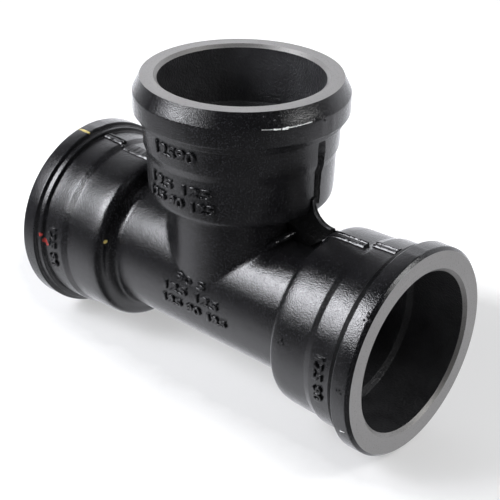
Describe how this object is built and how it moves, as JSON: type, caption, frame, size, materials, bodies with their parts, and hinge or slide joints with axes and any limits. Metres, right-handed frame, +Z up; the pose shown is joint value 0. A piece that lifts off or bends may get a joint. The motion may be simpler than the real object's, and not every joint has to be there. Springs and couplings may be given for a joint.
{
  "type": "pipe socket tee",
  "caption": "Equal cast iron tee with a stepped socket at each mouth, for joining a branch pipe to a straight run.",
  "frame": {"origin": "centre of the box on the surface that the tee stands on, under the crossing of the two axes", "axes": "+X along the run, +Z up along the branch and out of its mouth"},
  "size_m": [0.347, 0.1646, 0.253],
  "materials": {
    "coated_iron": "black semi-gloss coating over sand-cast grain, bare machined mouth faces"
  },
  "bodies": {
    "root": {"socket_tee": "coated_iron"}
  },
  "joints": []
}
